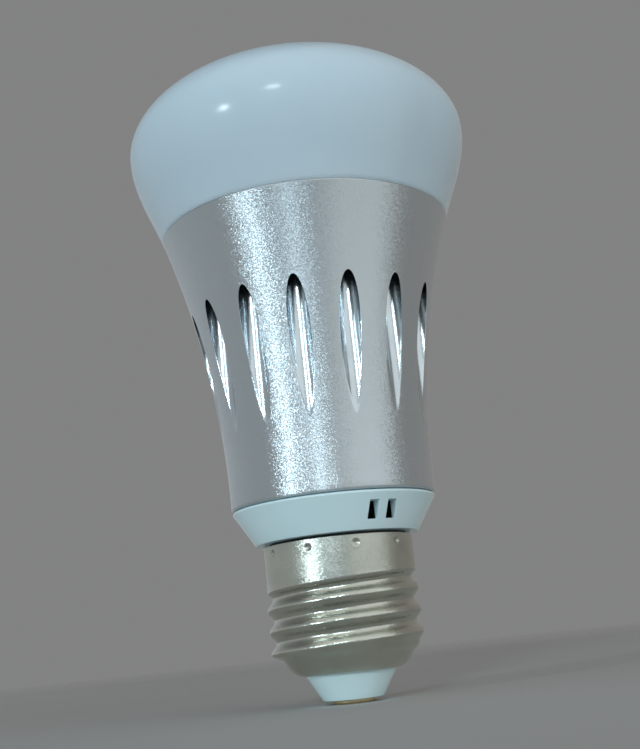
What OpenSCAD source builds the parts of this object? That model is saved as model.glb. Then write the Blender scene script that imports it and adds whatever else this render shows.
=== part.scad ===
/* [Bulb] */
// Largest diameter, across the diffuser
bulb_d = 61.9; // [60:0.1:64]
// Height from the contact's end face to the top of the diffuser
bulb_h = 114.9; // [113:0.1:118]
// Height of the diffuser's widest ring
widest_z = 99.4; // [97:0.1:101]
// Wall of the diffuser
diffuser_wall = 1.6; // [1.2:0.1:2]
// Gap between the diffuser and the rim that it snaps into
seam = 0.1; // [0.1:0.05:0.3]

/* [Heat sink] */
// Height of the heat sink's lower face
sink_z = 33.55; // [33.4:0.05:34]
// Height of its top rim
rim_z = 83.4; // [82.5:0.1:84]
// Diameter of its lower face
sink_d = 35.6; // [35:0.1:36.5]
// Diameter of its top rim
rim_d = 52.1; // [51.6:0.1:53]
// Number of cooling channels
channel_n = 15; // [12:1:15]
// Diameter of a channel
channel_d = 3.6; // [3:0.1:4]
// Diameter of the circle that the channels stand on
channel_pcd = 40.3; // [39.6:0.1:40.6]
// Direction of the first channel, in degrees from +X
channel_turn = -1.1; // [-12:0.1:12]
// Diameter of the hollow for the driver housing
core_d = 30.8; // [30.6:0.1:31]

/* [Screw cap] */
// Thread pitch of an E27 cap: seven turns to the inch
thread_pitch = 3.629; // [3.6:0.001:3.65]
// Diameter over the thread's crests
crest_d = 26.2; // [26.05:0.01:26.45]
// Diameter at the thread's roots
root_d = 24.2; // [23.96:0.01:24.26]
// Diameter of the plain skirt above the thread
skirt_d = 25.7; // [25.5:0.1:25.9]
// Height of the shell's upper edge
shell_top_z = 26.9; // [26.5:0.1:27.1]
// Height of a crest on the +X side
crest_z = 18.05; // [17:0.05:19]
// Thickness of the shell's sheet
shell_wall = 0.3; // [0.25:0.05:0.3]
// Diameter of the centre contact
contact_d = 7.4; // [6:0.1:9]
// How far the contact stands below the insulator
contact_h = 0.7; // [0.6:0.1:0.9]

/* [Driver housing] */
// Height of the collar's lower edge
collar_z = 27.35; // [27.3:0.05:27.6]
// Diameter of the collar's lower edge
collar_d = 28.2; // [27.6:0.1:28.6]
// Outside diameter of the tube inside the heat sink
tube_d = 30.2; // [30:0.1:30.4]
// Wall of that tube
tube_wall = 1.5; // [1.4:0.1:1.5]
// Inside diameter of the neck inside the screw shell
neck_bore_d = 20.8; // [20.6:0.1:21]
// Width of a window in the collar
window_w = 1.7; // [1.4:0.1:2]
// Height of a window in the collar
window_h = 2.9; // [2.4:0.1:3]

/* [Electronics] */
// Diameter of the LED board
led_board_d = 44; // [42:0.5:44]
// Thickness of the LED board
led_board_t = 1.6; // [1.2:0.1:1.6]
// Number of white LEDs
white_led_n = 18; // [12:6:18]
// Number of colour LEDs
colour_led_n = 6; // [4:2:6]
// Thickness of the driver board
driver_board_t = 1.2; // [1:0.1:1.2]
// Thickness of the radio board
wifi_board_t = 0.8; // [0.8:0.1:1]

/* [Hidden] */
$fn = 96;

// Seat in the heat sink's top: a ledge for the LED board, inside a rim for the diffuser
ledge_z = rim_z - 2.9;
recess_r = 24.1;
pad_t = 0.3;
board_z = ledge_z + pad_t;
leds_z = board_z + led_board_t;
// The diffuser's skirt stands in the rim, clear of it and of the LED board
skirt_outer_r = recess_r - 0.3;
skirt_inner_r = led_board_d / 2 + 0.5;
diffuser_z = rim_z + seam;
// The screws that hold the LED board stand between channels
channel_step = 360 / channel_n;
screw_n = 3;
screw_turn = channel_turn + channel_step / 2;
screw_r = 1;
// Parting line of the insulator and the shell's lower lip
lip_z = 5.1;
lip_r = 7.9;
// Nose of the shell under the thread: radius where the thread starts, and its height,
// in which it narrows by a cone and by a rounded edge
nose_r = 11.2;
nose_h = 3;
nose_cone = 1.14;
nose_round = 1.76;
// Heights between which the thread grows out of the nose, and where it meets the skirt
thread_low_z = 7.6;
thread_full_z = 8.9;
skirt_low_z = 20.35;
// How much fuller than a sine wave the thread's crests and roots are
thread_fullness = 0.175;
// The slot that the radio board and the LED wires pass through
slot_x = 17.6;
slot_low_y = -4.9;
slot_high_y = 1.8;
// The driver board stands upright, with its tall parts towards -Y
board_y = 3;
board_top_z = 74;
board_low_z = 22.5;
tube_top_z = 76;

// Radius of the heat sink's outside: a parabola from the lower face to the rim
function sink_r(z) =
    let (t = (z - sink_z) / (rim_z - sink_z)) sink_d / 2 + (rim_d - sink_d) / 2 * t * t;
// Slope of that outside at the rim, which the diffuser carries on
rim_slope = (rim_d - sink_d) / (rim_z - sink_z);

// Diffuser's outside from its lower edge to its widest ring: a cubic with the rim's slope below
// and none above. inset moves it inwards by that much.
function flare(t, inset) =
    let (
        h = widest_z - diffuser_z,
        r = rim_d / 2 * (2 * pow(t, 3) - 3 * pow(t, 2) + 1)
            + h * rim_slope * (pow(t, 3) - 2 * pow(t, 2) + t)
            + bulb_d / 2 * (3 * pow(t, 2) - 2 * pow(t, 3))
    ) [r - inset, diffuser_z + t * h];
// Its crown: a quarter of an ellipse
function crown(a, inset) =
    [(bulb_d / 2 - inset) * cos(a), widest_z + (bulb_h - widest_z - inset) * sin(a)];
function dome_side(inset) = concat(
    [for (i = [0:9]) flare(i / 10, inset)],
    [for (i = [0:18]) crown(i * 5, inset)]
);

// Points of a smooth curve through hand-placed points
function catmull(p, i, t) =
    let (
        a = p[max(i - 1, 0)],
        b = p[i],
        c = p[i + 1],
        d = p[min(i + 2, len(p) - 1)]
    ) 0.5 * (2 * b + (c - a) * t + (2 * a - 5 * b + 4 * c - d) * t * t
        + (3 * b - a - 3 * c + d) * t * t * t);
function smooth(p, steps) = concat(
    [for (i = [0:len(p) - 2]) for (s = [0:steps - 1]) catmull(p, i, s / steps)],
    [p[len(p) - 1]]
);
function unit(v) = v / norm(v);

// A round wire along a route that never runs along +X
module wire(route, r, steps = 3, sides = 8) {
    p = smooth(route, steps);
    n = len(p);
    rings = [for (i = [0:n - 1])
        let (
            along = unit(p[min(i + 1, n - 1)] - p[max(i - 1, 0)]),
            side = unit(cross([0.1, 1, 0.05], along)),
            up = cross(along, side)
        ) for (j = [0:sides - 1])
            p[i] + r * (cos(360 * j / sides) * side + sin(360 * j / sides) * up)];
    walls = [for (i = [0:n - 2]) for (j = [0:sides - 1])
        let (k = (j + 1) % sides, a = i * sides, b = a + sides)
            for (f = [[a + j, b + k, a + k], [a + j, b + j, b + k]]) f];
    ends = [
        [for (j = [0:sides - 1]) j],
        [for (j = [sides - 1:-1:0]) (n - 1) * sides + j]
    ];
    polyhedron(rings, concat(walls, ends), convexity = 4);
}

module diffuser() color("aliceblue")
    rotate_extrude() polygon(concat(
        [[skirt_inner_r, ledge_z + 0.6], [skirt_outer_r, ledge_z + 0.6],
            [skirt_outer_r, diffuser_z]],
        dome_side(0),
        [for (i = [18:-1:0]) crown(i * 5, diffuser_wall)],
        [for (i = [9:-1:1]) flare(i / 10, diffuser_wall)],
        [[skirt_inner_r, diffuser_z + diffuser_wall]]
    ));

module heat_sink() color("silver") difference() {
    edge = 0.4;
    rotate_extrude() polygon(concat(
        [[core_d / 2, sink_z], [sink_d / 2 - edge, sink_z]],
        [for (i = [1:16]) let (z = sink_z + edge + (rim_z - sink_z - edge) * (i - 1) / 15)
            [sink_r(z), z]],
        [[recess_r, rim_z], [recess_r, ledge_z], [core_d / 2, ledge_z]]
    ));
    for (i = [0:channel_n - 1])
        rotate(channel_turn + i * channel_step)
            translate([channel_pcd / 2, 0, sink_z - 1])
                cylinder(d = channel_d, h = ledge_z - sink_z + 2);
    at_screws(ledge_z - 6) cylinder(r = screw_r + 0.02, h = 7);
}

module at_screws(z)
    for (i = [0:screw_n - 1])
        rotate(screw_turn + 360 / screw_n * i) translate([channel_pcd / 2, 0, z]) children();

// White moulding: the collar that shows, the neck inside the shell and the tube inside the sink
module driver_housing() color("white") {
    tube_r = tube_d / 2;
    bore_r = tube_r - tube_wall;
    neck_r = root_d / 2 - shell_wall - 0.2;
    seat_r = skirt_d / 2 - shell_wall - 0.1;
    relief_r = seat_r - 0.6;
    pocket_r = 14.4;
    pocket_z = 28.7;
    collar_top = sink_z - 0.2;
    difference() {
        rotate_extrude() polygon([
            [neck_bore_d / 2, 9], [neck_r, 9], [neck_r, 20.2], [seat_r, 21.2],
            [seat_r, shell_top_z - 0.2], [relief_r, shell_top_z], [relief_r, collar_z],
            [collar_d / 2 - 0.3, collar_z], [collar_d / 2, collar_z + 0.3],
            [sink_d / 2 - 0.5, collar_top - 0.6], [sink_d / 2 - 0.25, collar_top - 0.3],
            [sink_d / 2 - 0.4, collar_top], [sink_d / 2 - 1, collar_top],
            [sink_d / 2 - 1.2, sink_z], [tube_r, sink_z], [tube_r, tube_top_z],
            [bore_r, tube_top_z], [bore_r, sink_z], [pocket_r, sink_z - 0.8],
            [pocket_r, pocket_z], [neck_bore_d / 2 + 0.8, pocket_z],
            [neck_bore_d / 2, pocket_z - 0.8]
        ]);
        windows();
        // way out for the neutral wire
        translate([0, 0, 13.8]) rotate([0, -90, 0]) cylinder(r = 1, h = neck_r + 1);
    }
    // rails that hold the driver board's edges
    intersection() {
        translate([0, 0, 34]) cylinder(r = bore_r + 0.2, h = 39);
        for (side = [-1, 1])
            for (y = [board_y - 0.9, board_y + driver_board_t + 0.1])
                translate([side * 13 - 1, y, 34]) cube([2, 0.8, 39]);
    }
}

// Two pairs of windows, opposite each other; both windows of a pair run the same way
module windows() {
    pair_turn = -65;
    for (side = [0, 180])
        for (offset = [-0.4, 2.95])
            rotate(side + pair_turn) translate([12, offset - window_w / 2, 28.9])
                cube([8, window_w, window_h]);
}

// Closes the tube over the driver
module driver_cover() color("whitesmoke") difference() {
    union() {
        translate([0, 0, tube_top_z]) cylinder(d = tube_d - 0.2, h = 1.2);
        translate([0, 0, tube_top_z - 1.5])
            cylinder(d = tube_d - 2 * tube_wall - 0.2, h = 1.6);
    }
    board_slot(tube_top_z - 3, 6);
}

module board_slot(z, h)
    translate([-slot_x / 2, slot_low_y, z]) cube([slot_x, slot_high_y - slot_low_y, h]);

// Outside radius of the screw shell: rounded nose, rolled thread whose last groove runs
// out under the plain skirt
function ramp(a, b, x) = let (t = min(max((x - a) / (b - a), 0), 1)) t * t * (3 - 2 * t);
function shell_r(z, turn) =
    let (
        below = min(max((lip_z + nose_h - z) / nose_h, 0), 1),
        nose = nose_cone * below + nose_round * (1 - sqrt(1 - below * below)),
        middle = (crest_d + root_d) / 4,
        skirt_start = skirt_low_z + thread_pitch / 4 * cos(turn),
        skirt_mix = ramp(skirt_start - 1, skirt_start, z),
        start = ramp(thread_low_z, thread_full_z, z),
        swing = cos(360 * (z - crest_z) / thread_pitch - turn),
        full = 1 + thread_fullness * (1 - swing * swing),
        wave = (crest_d - root_d) / 4 * swing * full
    ) nose_r - nose + (middle - nose_r + wave * (1 - skirt_mix)) * start
        + (skirt_d / 2 - middle) * skirt_mix;

module screw_shell() color("#cfcab4") {
    sides = 40;
    low = [for (s = [0, 0.12, 0.4, 0.9, 1.5, 2.1]) lip_z + s];
    thread = [for (i = [0:28]) thread_low_z - 0.1 + i * 0.5];
    heights = concat(low, thread, [shell_top_z]);
    outside = [for (z = heights) for (j = [0:sides - 1])
        let (a = 360 * j / sides, r = shell_r(z, a)) [r * cos(a), r * sin(a), z]];
    inside = [for (i = [len(heights) - 1:-1:0]) for (j = [0:sides - 1])
        let (z = heights[i], a = 360 * j / sides, r = shell_r(z, a) - shell_wall)
            [r * cos(a), r * sin(a), max(z, lip_z + shell_wall + (z - lip_z) * 0.7)]];
    lip = [for (z = [lip_z + shell_wall, lip_z]) for (j = [0:sides - 1])
        let (a = 360 * j / sides) [lip_r * cos(a), lip_r * sin(a), z]];
    points = concat(outside, inside, lip);
    rows = len(points) / sides;
    polyhedron(points, [for (i = [0:rows - 1]) for (j = [0:sides - 1])
        let (k = (j + 1) % sides, a = i * sides, b = ((i + 1) % rows) * sides)
            for (f = [[a + j, b + k, a + k], [a + j, b + j, b + k]]) f], convexity = 8);
}

module insulator() color("white") rotate_extrude() polygon([
    [1, contact_h], [5.1 - 0.3, contact_h], [5.1, contact_h + 0.25], [7.75, lip_z - 0.1],
    [lip_r - 0.15, lip_z], [lip_r - 0.15, lip_z + 0.5], [8.6, lip_z + 0.6],
    [8.6, lip_z + 2], [1, lip_z + 2]
]);

module centre_contact() color("#d8c98f") rotate_extrude() polygon([
    [1, contact_h], [contact_d / 2, contact_h], [contact_d / 2, 0.3], [contact_d / 2 - 0.3, 0],
    [2.3, 0], [2.1, 0.35], [1, 0.35]
]);

// Rivet through the contact, which grips the live wire
module contact_nail() color("silver") {
    translate([0, 0, 0.05]) cylinder(r = 2, h = 0.3);
    translate([0, 0, 0.3]) cylinder(r = 0.95, h = 7);
}

module thermal_pad() color("lightgray") difference() {
    translate([0, 0, ledge_z]) cylinder(d = led_board_d - 0.4, h = pad_t);
    translate([0, 0, ledge_z - 1]) cylinder(d = core_d + 0.4, h = 3);
    at_screws(ledge_z - 1) cylinder(r = screw_r + 0.3, h = 3);
}

module led_board() color("white") difference() {
    translate([0, 0, board_z]) cylinder(d = led_board_d, h = led_board_t);
    board_slot(board_z - 1, led_board_t + 2);
    at_screws(board_z - 1) cylinder(r = screw_r + 0.2, h = led_board_t + 2);
}

// A ring of square LEDs on the LED board
module led_ring(count, ring_r, turn, size, h)
    for (i = [0:count - 1])
        rotate(turn + 360 / count * i)
            translate([ring_r - size / 2, -size / 2, leds_z]) cube([size, size, h]);

module white_leds() color("gold") led_ring(white_led_n, 16.8, screw_turn - 10, 3, 0.7);
module colour_leds() color("ivory") led_ring(colour_led_n, 11.9, 0, 3.5, 1.2);

module board_screws() color("silver") at_screws(0) {
    translate([0, 0, leds_z]) difference() {
        cylinder(r = 1.9, h = 1.3);
        for (a = [0, 90]) rotate(a) translate([-1.2, -0.25, 0.7]) cube([2.4, 0.5, 1]);
    }
    translate([0, 0, ledge_z - 5]) cylinder(r = screw_r, h = leds_z - ledge_z + 5);
}

// Five-way connector beside the slot, with its mouth towards the slot
connector_y = slot_low_y - 1.5;
wire_n = 5;
wire_r = 0.42;
module led_connector() color("ivory") difference() {
    translate([-3.2, connector_y - 3.8, leds_z]) cube([6.4, 3.8, 3.6]);
    translate([-3, connector_y - 3, leds_z + 1.2]) cube([6, 4, 1.5]);
}

module led_wires() color("firebrick") for (i = [0:wire_n - 1]) {
    low_x = 1.6 + 1.3 * i;
    top_x = (i - 2) * 1.25;
    wire([
        [low_x, board_y - wire_r, 64.5], [low_x, board_y - 1, 65.6], [low_x, -2.6, 69],
        [(low_x + top_x) / 2, -3.7, 74], [top_x, -3.9, 80], [top_x, -4.4, 83.4],
        [top_x, connector_y + 0.4, leds_z + 1.9], [top_x, connector_y - 2.6, leds_z + 1.9]
    ], wire_r);
}

// Radio board, upright through the slot with its aerial above the metal
wifi_y = 0.2;
module wifi_board() color("darkgreen")
    translate([-8, wifi_y, 69]) cube([16, wifi_board_t, 26.7]);

module wifi_shield() color("silver") translate([-6.2, wifi_y - 2.2, 83.9]) difference() {
    cube([12.4, 2.2, 8]);
    translate([0.2, 0.2, 0.2]) cube([12, 3, 7.6]);
}

module pin_header() color("black") {
    strip_y = wifi_y + wifi_board_t;
    translate([-5, strip_y + 0.3, 70.4]) cube([10, board_y - strip_y - 0.6, 2.2]);
    for (i = [-2:2])
        translate([i * 2 - 0.3, strip_y, 71.2]) cube([0.6, board_y - strip_y, 0.6]);
}

module driver_board() color("green")
    translate([0, board_y + driver_board_t, 0]) rotate([90, 0, 0])
        linear_extrude(driver_board_t) polygon([
            [-9.4, board_low_z], [9.4, board_low_z], [9.4, 28.5], [12.6, 31.4],
            [12.6, board_top_z], [-12.6, board_top_z], [-12.6, 31.4], [-9.4, 28.5]
        ]);

// Places a part on the board's front: X across, Y up the board, Z away from it
module on_front(x, z) translate([x, board_y, z]) rotate([90, 0, 0]) children();
module on_back(x, z)
    translate([x, board_y + driver_board_t, z]) rotate([-90, 0, 0]) children();

// A round capacitor: a can with a rolled groove near its leads' end
module can(r, h) rotate_extrude() polygon([
    [0, 0], [r - 0.4, 0], [r, 0.4], [r, 1.4], [r - 0.4, 1.8], [r, 2.2], [r, h - 0.4],
    [r - 0.4, h], [0, h]
]);

module input_capacitor() color("darkslategray") {
    translate([0, 0, 21.8]) mirror([0, 0, 1]) can(5, 11.6);
    for (x = [-2.5, 2.5]) translate([x, board_y - 0.3, 21.7]) cylinder(r = 0.3, h = 3);
}

module output_capacitor() color("darkslategray") {
    r = 4;
    x = -7.6;
    translate([x, board_y - 4.3, 68.6]) mirror([0, 0, 1]) can(r, 11.4);
    for (dx = [-1.8, 1.8]) translate([x + dx, board_y - 4.3, 56.3]) {
        translate([0, 0, -0.3]) cylinder(r = 0.3, h = 1.5);
        rotate([-90, 0, 0]) cylinder(r = 0.3, h = 4.3);
    }
}

// Transformer: two E cores round a bobbin with a taped winding
trafo_z = 48.6;
trafo_h = 6.6;
module transformer_core() color("dimgray") on_front(0, trafo_z)
    translate([0, 0, trafo_h - 2.4]) linear_extrude(4.8) difference() {
        square([14, 12.4], center = true);
        for (side = [-1, 1]) translate([side * 3.8, 0]) square([2.8, 8.8], center = true);
    }

module transformer_bobbin() color("black") on_front(0, trafo_z) {
    translate([0, 0, trafo_h]) rotate([90, 0, 0]) difference() {
        union() {
            translate([-3.1, -3.1, -4.2]) cube([6.2, 6.2, 8.4]);
            for (y = [-4.2, 3.5]) translate([-5, -5, y]) cube([10, 10, 0.7]);
        }
        translate([-2.5, -2.5, -5]) cube([5, 5, 10]);
    }
    translate([-5, -4.2, 0]) cube([10, 8.4, 1.7]);
}

module transformer_winding() color("gold") on_front(0, trafo_z)
    translate([0, 0, trafo_h]) rotate([90, 0, 0]) translate([0, 0, -3.4])
        linear_extrude(6.8) difference() {
            union() {
                square([9.2, 7], center = true);
                square([7, 9.2], center = true);
                for (x = [-3.5, 3.5]) for (y = [-3.5, 3.5]) translate([x, y]) circle(1.1);
            }
            square([6.3, 6.3], center = true);
        }

module choke_core() color("dimgray") on_front(5.6, 37.6) {
    translate([0, 0, 0.3]) cylinder(r = 4.1, h = 1.2);
    translate([0, 0, 1]) cylinder(r = 2, h = 7.4);
    translate([0, 0, 8]) cylinder(r = 4.1, h = 1.2);
}

module choke_coil() color("peru") on_front(5.6, 37.6) difference() {
    translate([0, 0, 1.55]) cylinder(r = 3.8, h = 6.4);
    cylinder(r = 2.05, h = 9);
}

module film_capacitor() color("goldenrod") on_front(-6.4, 37.4) {
    translate([-4.7, -2.4, 0.4]) cube([9.4, 4.8, 8.6]);
    for (x = [-3.7, 3.7]) translate([x, 0, 0]) cylinder(r = 0.3, h = 1);
}

module bridge_rectifier() color("#222222") on_front(-5.9, 30) {
    translate([-3, -3.4, 0.3]) cube([6, 6.8, 2.4]);
    for (side = [-1, 1]) for (y = [-2, 2]) translate([side * 3.3 - 0.5, y - 0.4, 0])
        cube([1, 0.8, 0.5]);
}

module fuse_resistor() color("seagreen") on_front(7.4, 28.2) {
    h = 2.2;
    translate([0, -3.6, h]) rotate([-90, 0, 0]) cylinder(r = 1.8, h = 7.2);
    for (side = [-1, 1]) {
        translate([0, side * 4.4, 0]) cylinder(r = 0.35, h = h);
        translate([0, side * 4.4, h]) rotate([side * 90, 0, 0])
            translate([0, 0, -0.35]) cylinder(r = 0.35, h = 1.5);
    }
}

// Small-outline chips on the board's back
module driver_chips() color("#202020") for (z = [46, 60]) on_back(0, z) {
    translate([-2, -2.5, 0.15]) cube([4, 5, 1.5]);
    for (side = [-1, 1]) for (i = [-1.5:1:1.5])
        translate([side * 2.5 - 0.6, i * 1.27 - 0.2, 0]) cube([1.2, 0.4, 0.4]);
}

module smd_parts() color("tan") for (row = [0:3]) for (side = [-1, 1])
    on_back(side * 7, 40 + row * 8) translate([-1.6, -0.8, 0]) cube([3.2, 1.6, 0.7]);

module live_wire() color("crimson") wire([
    [0, 0, 7.3], [0, 0, 7.6], [0, 0, 7.9], [0.7, 0, 8.4], [3.2, 0.1, 9], [6.4, 0.1, 10.5],
    [7.6, 0.1, 14], [7.6, 0.2, 19], [7.4, 0.8, 23]
], 0.65);

module neutral_wire() color("black") wire([
    [-5.6, board_y - 0.65, 25.6], [-6.6, 1.4, 22.6], [-7.4, 0.3, 19], [-8, 0, 15.4],
    [-9.6, 0, 13.9], [-11.6, 0, 13.8]
], 0.6);

diffuser();
heat_sink();
driver_housing();
driver_cover();
screw_shell();
insulator();
centre_contact();
contact_nail();
thermal_pad();
led_board();
white_leds();
colour_leds();
board_screws();
led_connector();
led_wires();
wifi_board();
wifi_shield();
pin_header();
driver_board();
input_capacitor();
output_capacitor();
transformer_core();
transformer_bobbin();
transformer_winding();
choke_core();
choke_coil();
film_capacitor();
bridge_rectifier();
fuse_resistor();
driver_chips();
smd_parts();
live_wire();
neutral_wire();
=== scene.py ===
"""Looks of the smart light bulb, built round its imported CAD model."""

import random
from math import acos, asin, cos, exp, pi, radians, sin, sqrt, tan

import bmesh
import bpy
from mathutils import Matrix, Vector


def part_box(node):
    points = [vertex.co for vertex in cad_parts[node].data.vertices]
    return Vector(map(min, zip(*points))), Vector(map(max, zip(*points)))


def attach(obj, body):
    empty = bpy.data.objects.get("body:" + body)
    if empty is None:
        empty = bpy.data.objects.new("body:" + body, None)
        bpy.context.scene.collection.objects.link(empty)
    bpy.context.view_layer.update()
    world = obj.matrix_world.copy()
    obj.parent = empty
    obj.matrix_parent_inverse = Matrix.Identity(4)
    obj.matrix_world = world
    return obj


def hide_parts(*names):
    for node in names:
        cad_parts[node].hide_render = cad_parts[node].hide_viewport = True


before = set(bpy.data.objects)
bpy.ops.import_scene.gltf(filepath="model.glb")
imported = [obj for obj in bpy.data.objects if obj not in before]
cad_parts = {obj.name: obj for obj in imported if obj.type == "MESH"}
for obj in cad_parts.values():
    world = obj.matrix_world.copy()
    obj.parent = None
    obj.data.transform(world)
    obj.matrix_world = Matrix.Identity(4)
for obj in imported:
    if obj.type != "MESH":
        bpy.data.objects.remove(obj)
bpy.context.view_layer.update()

MM = 0.001
BODY, COVER = "bulb_body", "diffuser"

# ---- driving dimensions
SINK_LOW, SINK_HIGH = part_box("heat_sink")
DOME_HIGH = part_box("diffuser")[1]
SHELL_LOW, SHELL_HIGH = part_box("screw_shell")
BOARD_LOW, BOARD_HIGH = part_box("led_board")
HOUSING_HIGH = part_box("driver_housing")[1]

# Heat sink: a parabola from the lower face to the rim, with channels parallel to the axis
SINK_Z, RIM_Z = SINK_LOW.z, SINK_HIGH.z
SINK_R, RIM_R = 17.8 * MM, SINK_HIGH.x
CORE_R, RECESS_R = 15.4 * MM, 24.1 * MM
LEDGE_Z = RIM_Z - 2.9 * MM
CHANNELS = 15
CHANNEL_STEP = 2 * pi / CHANNELS
CHANNEL_TURN = radians(-1.1)
CHANNEL_R, CHANNEL_CIRCLE = 1.8 * MM, 20.15 * MM
CHANNEL_BREAK = 0.05 * MM

# Diffuser: carries on the heat sink's flare to its widest ring, then a quarter of an ellipse
SEAM_Z = RIM_Z + 0.03 * MM
WIDEST_Z, WIDEST_R, TOP_Z = 99.4 * MM, DOME_HIGH.x, DOME_HIGH.z
DOME_WALL = 1.6 * MM
SKIRT_OUTER_R, SKIRT_INNER_R = 23.8 * MM, 22.5 * MM

# Screw cap
PITCH = 3.629 * MM
CREST_R, ROOT_R, SKIRT_R = SHELL_HIGH.x, 12.1 * MM, 12.85 * MM
CREST_Z = 18.05 * MM
LIP_Z, LIP_R, SHELL_TOP_Z = SHELL_LOW.z, 7.9 * MM, SHELL_HIGH.z
NOSE_R, NOSE_H, NOSE_CONE, NOSE_ROUND = 11.2 * MM, 3 * MM, 1.14 * MM, 1.76 * MM
THREAD_LOW_Z, THREAD_FULL_Z, THREAD_FULLNESS = 7.6 * MM, 8.9 * MM, 0.175
SKIRT_LOW_Z = 20.35 * MM
SHEET = 0.3 * MM
DIMPLES, DIMPLE_TURN = 10, radians(-76.6)
DIMPLE_Z = SHELL_TOP_Z - 1.35 * MM
DIMPLE_R, DIMPLE_DEPTH, DIMPLE_REACH = 0.42 * MM, 0.25 * MM, 1.3 * MM
RIDGE_R, RIDGE_W, RIDGE_H = 0.72 * MM, 0.15 * MM, 0.03 * MM

# Driver housing
COLLAR_Z, COLLAR_R = 27.35 * MM, 14.1 * MM
NECK_BORE_R, TUBE_R, TUBE_BORE_R = 10.4 * MM, 15.1 * MM, 13.6 * MM
NECK_LOW_Z, NECK_TOP_Z, SEAT_LOW_Z = 9 * MM, 20.2 * MM, 21.2 * MM
POCKET_R, POCKET_Z = 14.4 * MM, 28.7 * MM
WINDOW_HALF = 0.85 * MM
WINDOW_LOW_Z, WINDOW_TOP_Z = 28.9 * MM, 31.8 * MM
WINDOW_TURN, WINDOW_OFFSETS = radians(-65), (-0.4 * MM, 2.95 * MM)


# ---- mesh helpers
def put(name, data):
    """A new object of this data, in the scene."""
    item = bpy.data.objects.new(name, data)
    bpy.context.scene.collection.objects.link(item)
    return item


def make(name, verts, faces, materials, slot, body=BODY, face_slots=None, sharp=35):
    """A mesh object of these faces, riding on a body, smooth except at sharp edges."""
    mesh = bpy.data.meshes.new(name)
    mesh.from_pydata([tuple(v) for v in verts], [], faces)
    for material in materials:
        mesh.materials.append(material)
    if face_slots:
        for polygon, index in zip(mesh.polygons, face_slots):
            polygon.material_index = index
    work = bmesh.new()
    work.from_mesh(mesh)
    bmesh.ops.remove_doubles(work, verts=work.verts, dist=1e-7)
    bmesh.ops.dissolve_degenerate(work, edges=work.edges, dist=1e-8)
    bmesh.ops.recalc_face_normals(work, faces=work.faces)
    work.to_mesh(mesh)
    work.free()
    mesh.shade_smooth()
    mesh.set_sharp_from_angle(angle=radians(sharp))
    piece = put(name, mesh)
    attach(piece, body)
    return piece


def outline(corners, steps=5):
    """A closed outline in (r, z) from corners (r, z) or (r, z, fillet radius)."""
    points = []
    for i, corner in enumerate(corners):
        here = Vector(corner[:2])
        if len(corner) < 3:
            points.append(here)
            continue
        back = (Vector(corners[i - 1][:2]) - here).normalized()
        ahead = (Vector(corners[(i + 1) % len(corners)][:2]) - here).normalized()
        half = back.angle(ahead) / 2
        centre = here + (back + ahead).normalized() * corner[2] / sin(half)
        start = here + back * corner[2] / tan(half) - centre
        turn = back.angle_signed(ahead)
        sweep = (pi - 2 * half) * (1 if turn > 0 else -1)
        for s in range(steps + 1):
            a = sweep * s / steps
            points.append(centre + Vector((start.x * cos(a) - start.y * sin(a),
                                           start.x * sin(a) + start.y * cos(a))))
    return points


def in_mm(corners):
    return [tuple(v * MM for v in corner) for corner in corners]


def angles(count, turn=0.0):
    """Evenly spaced angles, all the way round."""
    return [turn + 2 * pi * i / count for i in range(count)]


def ring_faces(rows, columns, first=0, closed=False):
    """Quads between rings of vertices; closed joins the last ring to the first."""
    faces = []
    for i in range(rows if closed else rows - 1):
        a, b = first + i * columns, first + (i + 1) % rows * columns
        for c in range(columns):
            d = (c + 1) % columns
            faces.append((a + c, a + d, b + d, b + c))
    return faces


def capped_faces(rows, columns, first):
    """Quads between rings of vertices, and a face over each end."""
    last = first + (rows - 1) * columns
    ends = [tuple(first + c for c in reversed(range(columns))),
            tuple(last + c for c in range(columns))]
    return ring_faces(rows, columns, first) + ends


def paint(looks, faces, index):
    """Gives the faces added since the last call a material number."""
    looks += [index] * (len(faces) - len(looks))


def lathe(points, columns):
    """Vertices and faces of a closed outline (r, z) turned round the axis."""
    verts = [(r * cos(a), r * sin(a), z) for r, z in points for a in angles(columns)]
    return verts, ring_faces(len(points), columns, closed=True)


def turned(name, corners, materials, columns=192, **facts):
    """A turned part from corners in mm."""
    verts, faces = lathe(outline(in_mm(corners)), columns)
    return make(name, verts, faces, materials, **facts)


def grid_faces(rows, columns, start=0):
    """Quads between the rows of a grid of vertices."""
    return [(start + i * columns + c, start + i * columns + c + 1,
             start + (i + 1) * columns + c + 1, start + (i + 1) * columns + c)
            for i in range(rows - 1) for c in range(columns - 1)]


def add_box(verts, faces, centre, size, turn=0.0, bevel=0.0):
    """Adds a box, its top and side edges bevelled, turned about its own upright axis."""
    low, high = -Vector(size) / 2, Vector(size) / 2
    spin = Matrix.Rotation(turn, 4, "Z")
    rings = [(low.z, 0.0), (high.z - bevel, 0.0), (high.z, bevel)] if bevel else [
        (low.z, 0.0), (high.z, 0.0)]
    first = len(verts)
    for z, inset in rings:
        x, y = high.x - inset, high.y - inset
        cut = min(bevel, x, y) if bevel else 0.0
        ring = [(x, y - cut), (x - cut, y), (cut - x, y), (-x, y - cut),
                (-x, cut - y), (cut - x, -y), (x - cut, -y), (x, cut - y)] if cut else [
                    (x, y), (-x, y), (-x, -y), (x, -y)]
        verts.extend(spin @ Vector((*p, z)) + Vector(centre) for p in ring)
    faces += capped_faces(len(rings), len(ring), first)


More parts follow.
